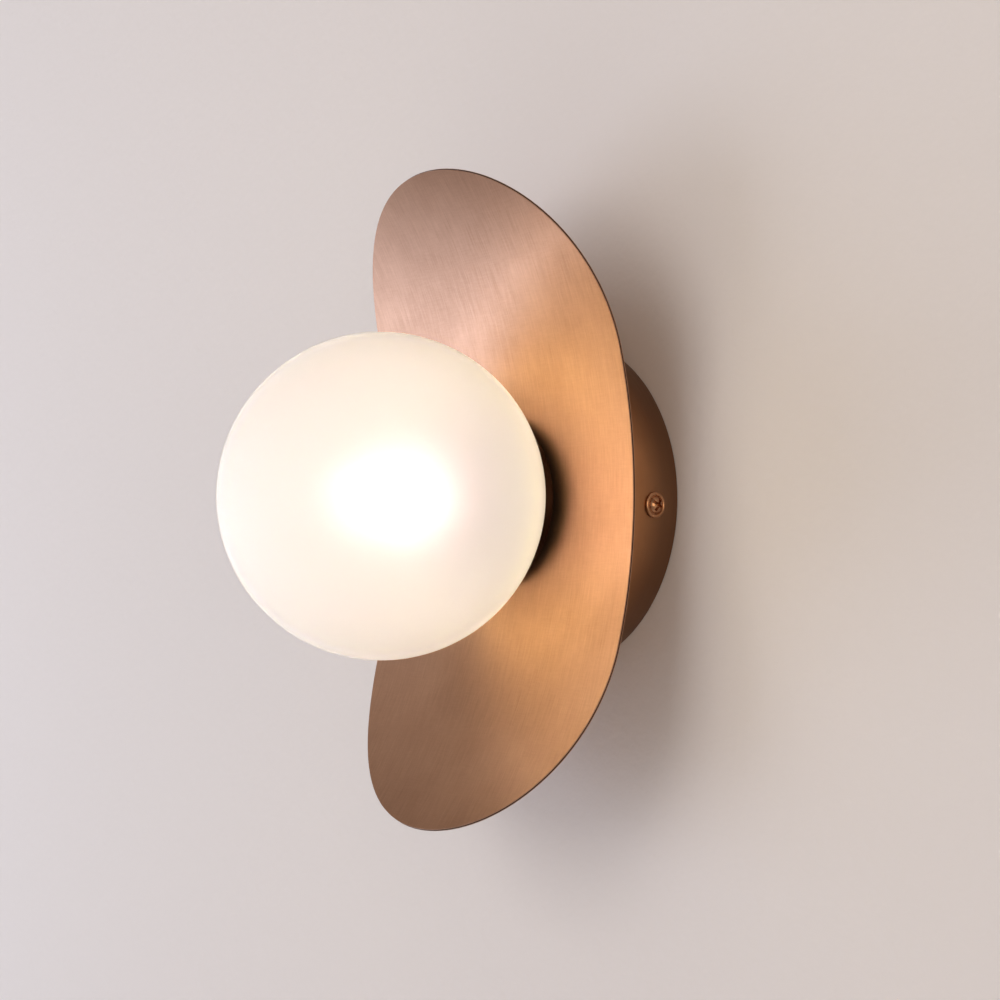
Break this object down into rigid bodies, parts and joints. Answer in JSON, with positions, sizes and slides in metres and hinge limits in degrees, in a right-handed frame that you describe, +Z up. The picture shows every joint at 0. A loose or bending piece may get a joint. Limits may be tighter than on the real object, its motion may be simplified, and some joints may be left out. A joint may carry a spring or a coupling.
{
  "type": "wall lamp",
  "caption": "Wall lamp with an opal glass globe screwed to a fitter in front of a bent, round-ended copper plate on a round canopy.",
  "frame": {"origin": "middle of the two wall slots, on the wall plane behind the lamp", "axes": "+Z up, +Y into the wall, so the globe stands out towards -Y; +X to the lamp's right as seen from in front"},
  "size_m": [0.118, 0.1233, 0.2052],
  "materials": {
    "zinc_steel": "satin zinc plating",
    "block_plastic": "satin",
    "clamp_brass": "satin",
    "earth_insulation": "satin",
    "live_insulation": "satin",
    "neutral_insulation": "satin",
    "dark_bronze": "satin brushed dark bronze",
    "copper_screws": "polished copper plating",
    "bush_plastic": "satin",
    "brushed_copper": "vertically brushed antique copper",
    "ceramic": "glazed",
    "contact_bronze": "satin",
    "bulb_plastic": "satin",
    "pin_wire": "bright wire",
    "board": "white solder mask",
    "diodes": "phosphor",
    "clear_cover": "clear",
    "seal_silicone": "matt",
    "collar_plastic": "satin",
    "opal_glass": "satin opal"
  },
  "bodies": {
    "wall_unit": {"wall_bracket": "zinc_steel", "terminal_block": "block_plastic", "terminal_clamps": "clamp_brass", "terminal_screws": "zinc_steel", "terminal_fixing_screw": "zinc_steel", "earth_ring": "zinc_steel", "earth_screw": "clamp_brass", "earth_lead": "earth_insulation", "live_lead": "live_insulation", "neutral_lead": "neutral_insulation", "canopy": "dark_bronze", "side_screws": "copper_screws", "hollow_nipple": "zinc_steel", "nipple_bushes": "bush_plastic", "rear_lock_washer": "zinc_steel", "rear_lock_nut": "zinc_steel", "curved_plate": "brushed_copper", "saddle_spacer": "dark_bronze", "globe_fitter": "dark_bronze", "lampholder_bracket": "zinc_steel", "front_lock_washer": "zinc_steel", "front_lock_nut": "zinc_steel", "lampholder_body": "ceramic", "lampholder_contacts": "contact_bronze", "lampholder_screws": "zinc_steel"},
    "seal": {"globe_seal": "seal_silicone"},
    "globe": {"globe_collar": "collar_plastic", "globe": "opal_glass"},
    "bulb": {"bulb_base": "bulb_plastic", "bulb_pins": "pin_wire", "bulb_board": "board", "bulb_diodes": "diodes", "bulb_cover": "clear_cover"}
  },
  "joints": [
    {"name": "globe_travel", "type": "slide", "parent": "wall_unit", "child": "seal", "axis": [0, -1, 0], "range_m": [0, 0.005]},
    {"name": "globe_turn", "type": "hinge", "parent": "seal", "child": "globe", "pos_m": [0, -0.0288, 0], "axis": [0, -1, 0], "range_deg": [0, 450]},
    {"name": "bulb_pull", "type": "slide", "parent": "wall_unit", "child": "bulb", "axis": [0, -1, 0], "range_m": [0, 0.0095]}
  ],
  "couplings": [
    {"joint": "globe_travel", "follows": "globe_turn", "m_per_rad": 0.0006366}
  ]
}
